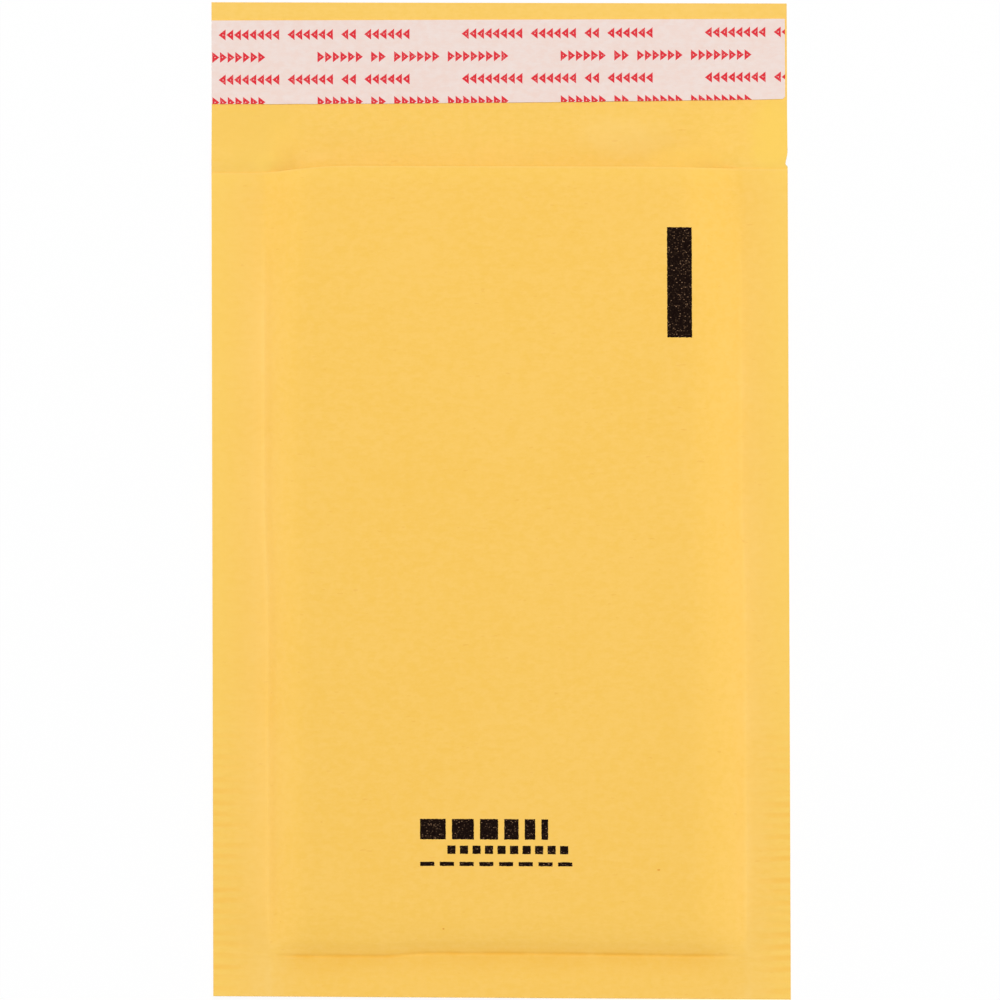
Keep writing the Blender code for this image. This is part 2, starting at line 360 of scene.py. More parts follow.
def mouth_drift(x):
    """The front ply's cut edge rises from the left seam and falls again to the right one."""
    climb = MOUTH_DRIFT[1] * between(x, *MOUTH_CLIMB_X)
    fall = MOUTH_DRIFT[2] * between(x, *MOUTH_FALL_X)
    return MOUTH_DRIFT[0] + climb + fall


def edge_nick(x, y):
    """How far the right edge is pushed in."""
    at_edge = between(x, HALF_WIDTH - NICK_WIDTH, HALF_WIDTH)
    past = y - MOUTH_Y - NICK_PAST_MOUTH
    return NICK_DEPTH * at_edge * hill(past, NICK_REACH[0] if past < 0.0 else NICK_REACH[1])


def skewed(x, y, z):
    return (x * (CUT_SHARE - CUT_TAPER * y) - LEAN * y, y - (DROOP - DROOP_CHANGE * y) * x, z)


def lip_droop(x, y):
    """How far the front ply and its film sink toward the mouth."""
    share = clamped((y - MOUTH_Y + LIP_REACH) / LIP_REACH)
    return LIP_DROOP * share * share * loft(x, y)


def lip_shift(x, y):
    """How far the front ply and its film reach up or draw back along the mailer near the mouth."""
    return mouth_drift(x) * between(y, MOUTH_Y - LIP_REACH, MOUTH_Y)


def sheet_point(x, y, height, way):
    """A point of the sheet's middle surface. way is 1 on the front ply, -1 on the back one and the flap."""
    z = height + way * PLY_LOFT * loft(x, y) + ribs(x, y) + fold_marks(x, y) + crease_lift(y)
    relief = wave(x, y, BROAD_WAVE, BROAD_SLICE) + wave(x, y, SMALL_WAVE, SMALL_SLICE)
    on_pad = 1.0 - between(y, MOUTH_Y, SETTLED_Y)
    inside = between(HALF_WIDTH - abs(x), 0.0, SEAM_DRIFT_REACH)
    moved_x = x + seam_drift(y) * inside * on_pad
    moved_y = y + crease_drift(x) * hill(y - CREASE_Y, CREASE_DRIFT_REACH)
    if way > 0:
        z += relief * loft(x, y) - lip_droop(x, y) - crease_groove(x, y)
        moved_y += lip_shift(x, y)
    else:
        z += (relief + BROAD_WAVE[1] / 2) * on_pad * loft(x, y) + flap_bulges(x, y)
        moved_x -= edge_nick(x, y)
    return skewed(moved_x, moved_y, z)


# Grids and meshes

def steps(start, end, spacing):
    count = max(1, round((end - start) / spacing))
    return [start + (end - start) * index / count for index in range(count + 1)]


def merged(*runs):
    """Places from several runs in rising order, without near repeats."""
    kept = []
    for place in sorted(place for run in runs for place in run):
        if not kept or place - kept[-1] > NEAR_REPEAT:
            kept.append(place)
    return kept


def toward(start, way, distances):
    """Places at these distances in millimetres from the start, one way or the other."""
    return [start + way * distance * MM for distance in distances]


def sheet_columns():
    """Places across the sheet, closest where it turns up over the pad."""
    from_seam = (-0.5, 0.0, 0.25, 0.6, 1.1, 1.8, 2.7, 3.8, 5.2, 7.0, 9.2, 12.0)
    return merged(
        steps(-HALF_WIDTH, LEFT_X - BESIDE_SEAM, MARGIN_STEP),
        toward(LEFT_X, 1.0, from_seam),
        steps(LEFT_X + LEFT_SHOULDER, RIGHT_X - RIGHT_SHOULDER, PANEL_STEP),
        toward(RIGHT_X, -1.0, [*from_seam, 14.5, 17.0]),
        steps(RIGHT_X + BESIDE_SEAM, HALF_WIDTH, MARGIN_STEP),
    )


def flap_rows():
    """Places up the flap, closest beside the nick and down to the table."""
    return [
        *steps(MOUTH_Y + NICK_STEP, MOUTH_Y + NICK_STEPS * NICK_STEP, NICK_STEP),
        *steps(MOUTH_Y + SLOPE_START, SETTLED_Y, SLOPE_STEP),
        *steps(SETTLED_Y + SLOPE_STEP, FLAP_END_Y, FLAP_STEP),
    ]


def sheet_rows():
    """The rows along the sheet, from the flap's end round the fold to the mouth: y, height and way."""
    fold_centre = FOLD_Y + PLY_OFFSET + PAPER / 2
    near_crease = toward(CREASE_Y, 1.0, (-0.75, -0.5, -0.25, 0.0, 0.25, 0.5, 0.75))
    body = merged(steps(fold_centre, MOUTH_Y, RIB_PITCH / RIB_STEPS), near_crease)
    rows = [(y, SEAM_Z - PLY_OFFSET, -1) for y in reversed(body + flap_rows())]
    for step in range(1, FOLD_STEPS):
        angle = math.pi * step / FOLD_STEPS
        y = fold_centre - PLY_OFFSET * math.sin(angle)
        rows.append((y, SEAM_Z - PLY_OFFSET * math.cos(angle), 0))
    rows += [(y, SEAM_Z + PLY_OFFSET, 1) for y in body]
    return rows


def grid_faces(across, up, start=0):
    """Quads between the points of a grid that lists its rows one after the other."""
    faces = []
    for row in range(up - 1):
        for column in range(across - 1):
            corner = start + row * across + column
            faces.append((corner, corner + 1, corner + across + 1, corner + across))
    return faces


def smooth_object(name, points, faces, *materials):
    mesh = bpy.data.meshes.new(name)
    mesh.from_pydata(points, [], faces)
    mesh.shade_smooth()
    for material in materials:
        mesh.materials.append(material)
    obj = bpy.data.objects.new(name, mesh)
    bpy.context.scene.collection.objects.link(obj)
    return obj


def thicken(obj, thickness, inner_slot=0, rim_slot=0):
    """Gives a skin its thickness, half to each side, with crisp cut edges."""
    wall = obj.modifiers.new("thickness", "SOLIDIFY")
    wall.thickness = thickness
    wall.offset = 0.0
    wall.use_even_offset = True
    wall.material_offset = inner_slot
    wall.material_offset_rim = rim_slot
    solid = obj.evaluated_get(bpy.context.evaluated_depsgraph_get())
    obj.data = bpy.data.meshes.new_from_object(solid)
    obj.modifiers.clear()
    obj.data.set_sharp_from_angle(angle=SHARP_ANGLE)


# Node trees

# The second of two noises that mustn't look alike is this much wider
OTHER_SHAKE = 1.1


class Shade:
    """A material's node tree, built a node at a time. Vectors are the piece's own coordinates."""

    def __init__(self, name, roughness, specular=0.5):
        self.material = bpy.data.materials.new(name)
        self.material.use_nodes = True
        self.nodes = self.material.node_tree.nodes
        self.links = self.material.node_tree.links
        self.shader = self.nodes["Principled BSDF"]
        self.shader.inputs["Roughness"].default_value = roughness
        self.shader.inputs["Specular IOR Level"].default_value = specular
        self.place = self.nodes.new("ShaderNodeTexCoord").outputs["Object"]

    def feed(self, socket, value):
        if isinstance(value, bpy.types.NodeSocket):
            self.links.new(value, socket)
        else:
            socket.default_value = value

    def give(self, name, value):
        """Feeds the shader's socket of this name."""
        self.feed(self.shader.inputs[name], value)

    def math(self, operation, first, second=0.0, third=0.0):
        node = self.nodes.new("ShaderNodeMath")
        node.operation = operation
        for socket, value in zip(node.inputs, (first, second, third)):
            self.feed(socket, value)
        return node.outputs["Value"]

    def chain(self, operation, values):
        """Joins the values one after the other by the same operation."""
        result = values[0]
        for value in values[1:]:
            result = self.math(operation, result, value)
        return result

    def times(self, *factors):
        return self.chain("MULTIPLY", factors)

    def plus(self, *terms):
        return self.chain("ADD", terms)

    def any_of(self, *masks):
        return self.chain("MAXIMUM", masks)

    def minus(self, first, second):
        return self.math("SUBTRACT", first, second)

    def scaled(self, value, factor, offset):
        return self.math("MULTIPLY_ADD", value, factor, offset)

    def blend(self, share, low, high):
        """low where the share is 0, high where it is 1."""
        return self.scaled(share, high - low, low)

    def distance(self, value, centre):
        return self.math("ABSOLUTE", self.minus(value, centre))

    def stretched(self, factors):
        node = self.nodes.new("ShaderNodeVectorMath")
        node.operation = "MULTIPLY"
        self.feed(node.inputs[0], self.place)
        self.feed(node.inputs[1], factors)
        return node.outputs["Vector"]

    def noise(self, size, detail=2.0, roughness=0.5, factors=(1.0, 1.0, 1.0)):
        """Grey noise around 0.5 whose blotches are about as wide as size."""
        node = self.nodes.new("ShaderNodeTexNoise")
        self.feed(node.inputs["Vector"], self.stretched(factors))
        self.feed(node.inputs["Scale"], 1.0 / size)
        self.feed(node.inputs["Detail"], detail)
        self.feed(node.inputs["Roughness"], roughness)
        return node.outputs["Fac"]

    def between(self, value, low, high):
        """0 before low, 1 after high, smooth in between, as the shapes' between is."""
        node = self.nodes.new("ShaderNodeMapRange")
        node.interpolation_type = "SMOOTHSTEP"
        self.feed(node.inputs["Value"], value)
        self.feed(node.inputs["From Min"], low)
        self.feed(node.inputs["From Max"], high)
        return node.outputs["Result"]

    def above(self, value, least):
        return self.math("GREATER_THAN", value, least)

    def within(self, value, low, high):
        return self.times(self.above(value, low), self.math("LESS_THAN", value, high))

    def mix(self, factor, first, second):
        """Mixes colours. A Mix node has sockets for each kind of value, these among them for colours."""
        node = self.nodes.new("ShaderNodeMix")
        node.data_type = "RGBA"
        self.feed(node.inputs[0], factor)
        for socket, colour in zip((node.inputs[6], node.inputs[7]), (first, second)):
            self.feed(socket, colour if isinstance(colour, bpy.types.NodeSocket) else (*colour, 1.0))
        return node.outputs[2]

    def split_place(self):
        node = self.nodes.new("ShaderNodeSeparateXYZ")
        self.feed(node.inputs["Vector"], self.place)
        return node.outputs

    def axes(self, roughen=0.0, size=MM):
        """The squared-up x and y of the sheet, shaken a little so that printed edges are ragged."""
        place = self.split_place()
        width = self.scaled(place["Y"], -CUT_TAPER, CUT_SHARE)
        x = self.math("DIVIDE", self.scaled(place["Y"], LEAN, place["X"]), width)
        y = self.scaled(place["X"], DROOP, place["Y"])
        if roughen:
            x = self.scaled(self.noise(size), roughen, self.minus(x, roughen / 2))
            y = self.scaled(self.noise(size * OTHER_SHAKE), roughen, self.minus(y, roughen / 2))
        return x, y

    def bump(self, height, depth):
        node = self.nodes.new("ShaderNodeBump")
        self.feed(node.inputs["Height"], height)
        self.feed(node.inputs["Distance"], depth)
        self.give("Normal", node.outputs["Normal"])


# Tones of the paper. A grain stretches the noise along X, strengths go from 0 to 1, and a reach or a range
# runs from where a tone starts to where it is full.
CLOUD_SIZE = 24.0 * MM
CLOUD_WEIGHT = 0.40
MOTTLE_SIZE = 1.5 * MM
MOTTLE_GRAIN = (0.75, 1.0, 1.0)
MOTTLE_WEIGHT = 1.15
FIBRE_SIZE = 0.55 * MM
FIBRE_GRAIN = (0.22, 1.0, 1.0)
FIBRE_WEIGHT = 0.45
TONE_RANGE = (0.66, 1.34)
FLECK_SIZE = 0.9 * MM
FLECK_GRAIN = (0.3, 1.0, 1.0)
FLECK_RANGE = (0.74, 0.80)
FLECK_STRENGTH = 0.22
# Painted highlight on the seam folds: its crest and glow, how it is broken up and where it fades out
CREST_REACH = (1.6 * MM, 0.2 * MM)
CREST_STRENGTH = 0.11
GLOW_REACH = (9.0 * MM, 0.5 * MM)
GLOW_STRENGTH = 0.13
SEAM_SHINE_BREAK_SIZE = 16.0 * MM
SEAM_SHINE_BREAK_RANGE = (0.25, 0.65)
SEAM_SHINE_LEAST = 0.3
SEAM_SHINE_Y = (78.0 * MM, 45.0 * MM)
MARGIN_INSIDE = 1.0 * MM
MARGIN_OUTSIDE = 2.0 * MM
MARGIN_STRENGTH = 0.07
# Painted light on the margins toward the cut edges and on the slack lip
EDGE_REACH = (12.0 * MM, -3.0 * MM)
EDGE_STRENGTH = 0.52
LIP_SHINE_REACH = (-7.0 * MM, 0.0)
LIP_STRENGTH = 0.20
# Painted highlight on the front ply's cut edge
RIM_HIGHLIGHT_REACH = (-0.7 * MM, -0.2 * MM)
RIM_HIGHLIGHT_STRENGTH = 0.14
# Painted shadow along the mouth's cut edge on the inner face
MOUTH_SHADOW_REACH = (0.8 * MM, 0.15 * MM)
MOUTH_SHADOW_X = (66.0 * MM, 36.0 * MM)
MOUTH_SHADOW_STRENGTH = (0.08, 0.22)
# Painted shade in the troughs of the crimp ribs
RIB_SHADE_Y = (-42.0 * MM, -95.0 * MM)
RIB_TROUGH = (0.9, -1.0)
RIB_SHAKE_SIZE = 12.0 * MM
RIB_SHAKE = 1.6 * MM
RIB_STREAK_GRAIN = (0.15, 1.0, 1.0)
RIB_STREAK_RANGE = (0.30, 0.65)
RIB_STREAK_LEAST = 0.2
RIB_SHADE_STRENGTH = 0.36
# Painted shade along the lower crease
CREASE_LINE_REACH = (0.7 * MM, 0.1 * MM)
CREASE_LINE_STRENGTH = 0.46
CREASE_BELOW = -7.5 * MM
CREASE_ABOVE = 2.0 * MM
CREASE_SOFT_STRENGTH = 0.34
CREASE_BREAK_SIZE = 9.0 * MM
CREASE_BREAK_RANGE = (0.35, 0.65)
CREASE_BREAK_LEAST = 0.55
CREASE_LEFT_X = (LEFT_X + 1.0 * MM, -52.0 * MM)
CREASE_RIGHT_X = (RIGHT_X - 1.0 * MM, 50.0 * MM)
PATCH_SHAKE_SIZE = 7.0 * MM
PATCH_SHAKE = 0.9
PATCH_RANGE = (1.0, 0.05)
SPECK_RANGE = (1.0, 0.6)


def paper_tone(shade, light, dark):
    """Cloudy, mottled and fibrous paper between two tones. Returns the colour and the tooth."""
    cloud = shade.noise(CLOUD_SIZE)
    mottle = shade.noise(MOTTLE_SIZE, detail=3.0, roughness=0.6, factors=MOTTLE_GRAIN)
    fibre = shade.noise(FIBRE_SIZE, roughness=0.6, factors=FIBRE_GRAIN)
    tone = shade.scaled(cloud, CLOUD_WEIGHT, shade.times(mottle, MOTTLE_WEIGHT))
    tone = shade.scaled(fibre, FIBRE_WEIGHT, tone)
    colour = shade.mix(shade.between(tone, *TONE_RANGE), dark, light)
    return colour, shade.plus(mottle, fibre)


def flecks(shade, colour):
    """Sparse darker fibres and specks in the pulp."""
    streaks = shade.noise(FLECK_SIZE, detail=1.0, factors=FLECK_GRAIN)
    found = shade.times(shade.between(streaks, *FLECK_RANGE), FLECK_STRENGTH)
    return shade.mix(found, colour, KRAFT_FLECK)


def from_seam_fold(shade, x, y):
    """Distance to the nearer seam fold."""
    drift = shade.scaled(shade.between(y, *SEAM_DRIFT_Y), SEAM_DRIFT[1], SEAM_DRIFT[0])
    settled = shade.minus(x, drift)
    return shade.math("MINIMUM", shade.distance(settled, LEFT_X), shade.distance(settled, RIGHT_X))


def from_cut_edge(shade, x):
    """Distance to the nearer side of the sheet."""
    return shade.minus(HALF_WIDTH, shade.math("ABSOLUTE", x))


def past_mouth(shade, x, y):
    """How far a place lies past the front ply's cut edge."""
    climb = shade.times(shade.between(x, *MOUTH_CLIMB_X), MOUTH_DRIFT[1])
    fall = shade.times(shade.between(x, *MOUTH_FALL_X), MOUTH_DRIFT[2])
    return shade.minus(y, shade.plus(climb, fall, MOUTH_Y + MOUTH_DRIFT[0]))


def seam_highlight(shade, x, y):
    """Painted highlight along the seam folds, and a little paler paper on the seam margins."""
    line = from_seam_fold(shade, x, y)
    patchy = shade.between(shade.noise(SEAM_SHINE_BREAK_SIZE), *SEAM_SHINE_BREAK_RANGE)
    crest = shade.times(shade.between(line, *CREST_REACH), CREST_STRENGTH)
    glow = shade.times(shade.between(line, *GLOW_REACH), GLOW_STRENGTH)
    broken = shade.blend(patchy, SEAM_SHINE_LEAST, 1.0)
    # The painted highlight, broken up and fading toward the mouth
    worn = shade.times(shade.plus(crest, glow), broken, shade.between(y, *SEAM_SHINE_Y))
    left = shade.between(x, LEFT_X + MARGIN_INSIDE, LEFT_X - MARGIN_OUTSIDE)
    right = shade.between(x, RIGHT_X - MARGIN_INSIDE, RIGHT_X + MARGIN_OUTSIDE)
    return shade.scaled(shade.any_of(left, right), MARGIN_STRENGTH, worn)


def edge_shine(shade, x):
    """Painted light on the seam margins, brightest at the cut edges."""
    return shade.times(shade.between(from_cut_edge(shade, x), *EDGE_REACH), EDGE_STRENGTH)


def lip_shine(shade, x, y):
    """Painted highlight on the slack front edge of the pocket, where it droops toward the mouth."""
    return shade.times(shade.between(past_mouth(shade, x, y), *LIP_SHINE_REACH), LIP_STRENGTH)


def rib_trough_shade(shade, x, y):
    """Painted shade: slightly darker lines in the troughs of the crimp ribs."""
    band = shade.between(from_cut_edge(shade, x), RIB_FADED_BAND, 0.0)
    low = shade.between(y, *RIB_SHADE_Y)
    shaken = shade.scaled(shade.noise(RIB_SHAKE_SIZE, detail=1.0), RIB_SHAKE, y)
    turns = shade.times(shaken, 2.0 * math.pi / RIB_PITCH)
    trough = shade.between(shade.math("SINE", turns), *RIB_TROUGH)
    streaks = shade.noise(RIB_PITCH, detail=1.0, factors=RIB_STREAK_GRAIN)
    uneven = shade.blend(shade.between(streaks, *RIB_STREAK_RANGE), RIB_STREAK_LEAST, 1.0)
    return shade.times(band, low, trough, uneven, RIB_SHADE_STRENGTH)


def crease_shade(shade, x, y):
    """Painted shade along the lower crease: a darker line, broken a little, with a soft edge below it."""
    step_up = shade.times(shade.between(x, *CREASE_STEP_X), CREASE_DRIFT[1])
    fall = shade.times(shade.between(x, *CREASE_FALL_X), CREASE_DRIFT[2])
    above = shade.minus(y, shade.plus(step_up, fall, CREASE_Y + CREASE_DRIFT[0]))
    line = shade.between(shade.math("ABSOLUTE", above), *CREASE_LINE_REACH)
    soft = shade.times(shade.between(above, CREASE_BELOW, 0.0), shade.between(above, CREASE_ABOVE, 0.0))
    both = shade.scaled(line, CREASE_LINE_STRENGTH, shade.times(soft, CREASE_SOFT_STRENGTH))
    breaks = shade.between(shade.noise(CREASE_BREAK_SIZE, detail=3.0), *CREASE_BREAK_RANGE)
    broken = shade.blend(breaks, CREASE_BREAK_LEAST, 1.0)
    ends = shade.times(shade.between(x, *CREASE_LEFT_X), shade.between(x, *CREASE_RIGHT_X))
    return shade.times(both, broken, ends)


def oval(shade, x, y, place, radii):
    """Squared distance from a place, 1 on the oval with these radii."""
    across = shade.math("DIVIDE", shade.minus(x, place[0]), radii[0])
    up = shade.math("DIVIDE", shade.minus(y, place[1]), radii[1])
    return shade.scaled(up, up, shade.times(across, across))


# Patches of the flap, painted highlight and painted shade where it bulges and slopes past the mouth, and a
# faint paler band near its end: centre, radii, tone and strength
PATCHES = (
    ((33.0 * MM, 96.3 * MM), (15.0 * MM, 7.0 * MM), KRAFT_PALE_HIGHLIGHT, 0.18),
    ((-48.8 * MM, 90.6 * MM), (7.0 * MM, 2.6 * MM), KRAFT_PALE_HIGHLIGHT, 0.10),
    ((73.0 * MM, 96.5 * MM), (8.5 * MM, 15.0 * MM), KRAFT_GOLDEN_SHADE, 0.72),
    ((-66.0 * MM, 97.0 * MM), (17.0 * MM, 15.0 * MM), KRAFT_DULL_SHADE, 0.62),
    ((50.0 * MM, 89.6 * MM), (13.0 * MM, 5.0 * MM), KRAFT_PAINTED_LIGHT, 0.45),
    ((-60.0 * MM, 88.6 * MM), (6.0 * MM, 4.0 * MM), KRAFT_PAINTED_LIGHT, 0.30),
    ((0.0 * MM, 134.0 * MM), (220.0 * MM, 12.0 * MM), KRAFT_PALE_HIGHLIGHT, 0.06),
)


def patches(shade, x, y, colour):
    """Painted highlight and painted shade on the flap where it bulges and slopes past the mouth, and a faint
    paler band near its end.
    """
    uneven = shade.scaled(shade.noise(PATCH_SHAKE_SIZE), PATCH_SHAKE, -PATCH_SHAKE / 2)
    for place, radii, tone, strength in PATCHES:
        patch = shade.between(shade.plus(oval(shade, x, y, place, radii), uneven), *PATCH_RANGE)
        colour = shade.mix(shade.times(patch, strength), colour, tone)
    return colour


# Dark specks in the pulp: centre and radii
SPECKS = (
    ((41.4 * MM, -97.2 * MM), (0.45 * MM, 0.26 * MM)),
    ((-15.4 * MM, -113.0 * MM), (0.3 * MM, 0.24 * MM)),
)


def specks(shade, x, y):
    """Single dark specks in the pulp."""
    return shade.any_of(*[shade.between(oval(shade, x, y, *speck), *SPECK_RANGE) for speck in SPECKS])


# Ink on the front. The wedge's widths and the space between its blocks are in millimetres.
BAR_X = (44.15 * MM, 50.7 * MM)
BAR_Y = (43.0 * MM, 72.05 * MM)
WEDGE_LEFT = -21.5 * MM
WEDGE_Y = (-89.4 * MM, -84.0 * MM)
WEDGE_WIDTHS = (6.8, 5.8, 4.8, 3.8, 2.8, 1.8)
WEDGE_SPACE = 1.6
SQUARES_Y = (-93.2 * MM, -91.0 * MM)
SQUARES_LEFT = -14.3 * MM
SQUARES_COUNT = 10
SQUARES_PITCH = 3.3 * MM
SQUARE_SHARE = 0.66
DASHES_Y = (-96.4 * MM, -95.3 * MM)
DASHES_LEFT = -21.5 * MM
DASHES_COUNT = 8
DASHES_PITCH = 5.2 * MM
DASH_SHARE = 0.72
INK_RAGGEDNESS = 0.26 * MM
INK_RAGGED_SIZE = 0.55 * MM

# Where the ink lies thin. The rows' gain and offset turn the noise into the share of dots that are holes.
PINHOLE_PITCH = 0.38 * MM
PINHOLE_STRETCH = (0.75, 1.2, 0.0)
PINHOLE_RANGE = (0.50, 0.10)
PINHOLE_FAINTNESS = 3.2
PINHOLE_ROW_SIZE = 1.1 * MM
PINHOLE_ROW_GRAIN = (0.10, 1.0, 1.0)
PINHOLE_ROW_GAIN = 2.4
PINHOLE_ROW_OFFSET = -0.40
INK_GRAIN_SIZE = 0.45 * MM
INK_GRAIN_RANGE = (0.42, 0.80)
INK_GRAIN_STRENGTH = 0.035


def step_wedge(shade, x, y):
    """A row of blocks, each narrower than the one before."""
    blocks = []
    left = WEDGE_LEFT
    for width in WEDGE_WIDTHS:
        blocks.append(shade.within(x, left, left + width * MM))
        left += (width + WEDGE_SPACE) * MM
    return shade.times(shade.any_of(*blocks), shade.within(y, *WEDGE_Y))


def block_row(shade, x, y, left, y_range, pitch, count, share):
    """A row of equal blocks, each as wide as this share of the pitch."""
    turns = shade.math("DIVIDE", shade.minus(x, left), pitch)
    on = shade.math("LESS_THAN", shade.math("FRACT", turns), share)
    return shade.times(on, shade.within(turns, 0.0, float(count)), shade.within(y, *y_range))


def print_marks(shade):
    """The black bar, and a plain print gauge: a step wedge, a row of squares and a row of dashes."""
    x, y = shade.axes(INK_RAGGEDNESS, INK_RAGGED_SIZE)
    bar = shade.times(shade.within(x, *BAR_X), shade.within(y, *BAR_Y))
    wedge = step_wedge(shade, x, y)
    squares = block_row(shade, x, y, SQUARES_LEFT, SQUARES_Y, SQUARES_PITCH, SQUARES_COUNT, SQUARE_SHARE)
    dashes = block_row(shade, x, y, DASHES_LEFT, DASHES_Y, DASHES_PITCH, DASHES_COUNT, DASH_SHARE)
    return shade.any_of(bar, wedge, squares, dashes)


def thin_ink(shade):
    """Where the ink lies thin: a fine grain, and small dots that gather in rows, some faint, some clear."""
    cells = shade.nodes.new("ShaderNodeTexVoronoi")
    shade.feed(cells.inputs["Vector"], shade.stretched(PINHOLE_STRETCH))
    shade.feed(cells.inputs["Scale"], 1.0 / PINHOLE_PITCH)
    chance = shade.nodes.new("ShaderNodeSeparateColor")
    shade.feed(chance.inputs["Color"], cells.outputs["Color"])
    dots = shade.between(cells.outputs["Distance"], *PINHOLE_RANGE)
    rows = shade.noise(PINHOLE_ROW_SIZE, detail=1.0, factors=PINHOLE_ROW_GRAIN)
    share = shade.scaled(rows, PINHOLE_ROW_GAIN, PINHOLE_ROW_OFFSET)
    found = shade.math("LESS_THAN", chance.outputs["Red"], share)
    clear = shade.math("POWER", chance.outputs["Green"], PINHOLE_FAINTNESS)
    fine = shade.between(shade.noise(INK_GRAIN_SIZE, roughness=0.6), *INK_GRAIN_RANGE)
    return shade.scaled(shade.times(dots, found), clear, shade.times(fine, INK_GRAIN_STRENGTH))


# Materials

PAPER_SPECULAR = 0.05
PAPER_TOOTH = 0.02 * MM
PRINTED_ROUGHNESS = 0.74
INK_ROUGHNESS = 0.82
INSIDE_ROUGHNESS = 0.8
EDGE_ROUGHNESS = 0.85
EDGE_TOOTH = 0.04 * MM
LINER_ROUGHNESS = 0.55
LINER_SPECULAR = 0.15
LINER_TOOTH = 0.008 * MM
FILM_ALPHA = 0.22
FILM_ROUGHNESS = (0.08, 0.24)
FILM_HAZE_SIZE = 5.0 * MM
FILM_WRINKLE_SIZE = 1.6 * MM
FILM_WRINKLES = 0.12 * MM
GLUE_ROUGHNESS = 0.3
GLUE_HAZE_SIZE = 2.0 * MM
TABLE_ROUGHNESS = 0.9


def kraft_printed():
    """The outer face of the paper, with its ink."""
    shade = Shade("golden_kraft", PRINTED_ROUGHNESS, PAPER_SPECULAR)
    colour, tooth = paper_tone(shade, KRAFT_LIGHT, KRAFT_DARK)
    colour = flecks(shade, colour)
    x, y = shade.axes()
    on_front = shade.above(shade.split_place()["Z"], SEAM_Z)
    # Painted highlight along the front ply's cut edge at the mouth
    lit_rim = shade.between(past_mouth(shade, x, y), *RIM_HIGHLIGHT_REACH)
    ink = shade.times(print_marks(shade), on_front)
    # Painted highlight on the seam folds
    colour = shade.mix(seam_highlight(shade, x, y), colour, KRAFT_PALE_HIGHLIGHT)
    # Painted light toward the cut edges and on the slack lip
    colour = shade.mix(shade.plus(edge_shine(shade, x), lip_shine(shade, x, y)), colour, KRAFT_PAINTED_LIGHT)
    # Painted shade in the rib troughs
    colour = shade.mix(rib_trough_shade(shade, x, y), colour, KRAFT_PAINTED_SHADE)
    # Painted shade along the lower crease
    colour = shade.mix(crease_shade(shade, x, y), colour, KRAFT_CREASE_SHADE)
    colour = shade.mix(shade.times(specks(shade, x, y), on_front), colour, KRAFT_FLECK)
    # Painted highlight on the front ply's cut edge
    colour = shade.mix(shade.times(lit_rim, on_front, RIM_HIGHLIGHT_STRENGTH), colour, KRAFT_PALE_HIGHLIGHT)
    shade.give("Base Color", shade.mix(ink, colour, shade.mix(thin_ink(shade), INK, INK_THIN)))
    shade.give("Roughness", shade.blend(ink, PRINTED_ROUGHNESS, INK_ROUGHNESS))
    shade.bump(tooth, PAPER_TOOTH)
    return shade.material


def kraft_inside():
    """The inner face, which the open flap shows."""
    shade = Shade("kraft_inside", INSIDE_ROUGHNESS, PAPER_SPECULAR)
    colour, tooth = paper_tone(shade, KRAFT_INSIDE_LIGHT, KRAFT_INSIDE_DARK)
    x, y = shade.axes()
    # Painted highlight and painted shade on the flap past the mouth
    colour = patches(shade, x, y, flecks(shade, colour))
    # Painted shadow along the line of the mouth's cut edge, strongest in the middle
    near_mouth = shade.between(shade.math("ABSOLUTE", past_mouth(shade, x, y)), *MOUTH_SHADOW_REACH)
    inward = shade.between(shade.math("ABSOLUTE", x), *MOUTH_SHADOW_X)
    mouth_shadow = shade.times(near_mouth, shade.blend(inward, *MOUTH_SHADOW_STRENGTH))
    shade.give("Base Color", shade.mix(mouth_shadow, colour, KRAFT_PAINTED_SHADE))
    shade.bump(tooth, PAPER_TOOTH)
    return shade.material


def kraft_edge():
    """The cut edges, paler and more fibrous."""
    shade = Shade("kraft_edge", EDGE_ROUGHNESS, PAPER_SPECULAR)
    colour, tooth = paper_tone(shade, KRAFT_EDGE, KRAFT_INSIDE_DARK)
    shade.give("Base Color", colour)
    shade.bump(tooth, EDGE_TOOTH)
    return shade.material


# Red marks on the liner, in groups of words made of equal cells
GROUP_PITCH = 64.4 * MM
CELL = 2.03 * MM
WORDS = ((0, 6), (7, 9), (10, 16), (17, 25))
MARK_START = 0.06 * MM
MARK_LENGTH = 1.86 * MM
MARK_HALF = 1.44 * MM
STROKE = 0.60 * MM
ROW_PITCH = 5.93 * MM
ROWS = 4
TOP_ROW_FROM_EDGE = 3.26 * MM
ROW_CLIMB = 0.0055
UPRIGHT_START = -48.2 * MM
TURNED_START = -23.7 * MM
RED_RAGGEDNESS = 0.10 * MM
RED_RAGGED_SIZE = 0.4 * MM
RED_WEAR_SIZE = 0.5 * MM
RED_WEAR_RANGE = (0.28, 0.46)
RED_LEAST = 0.8


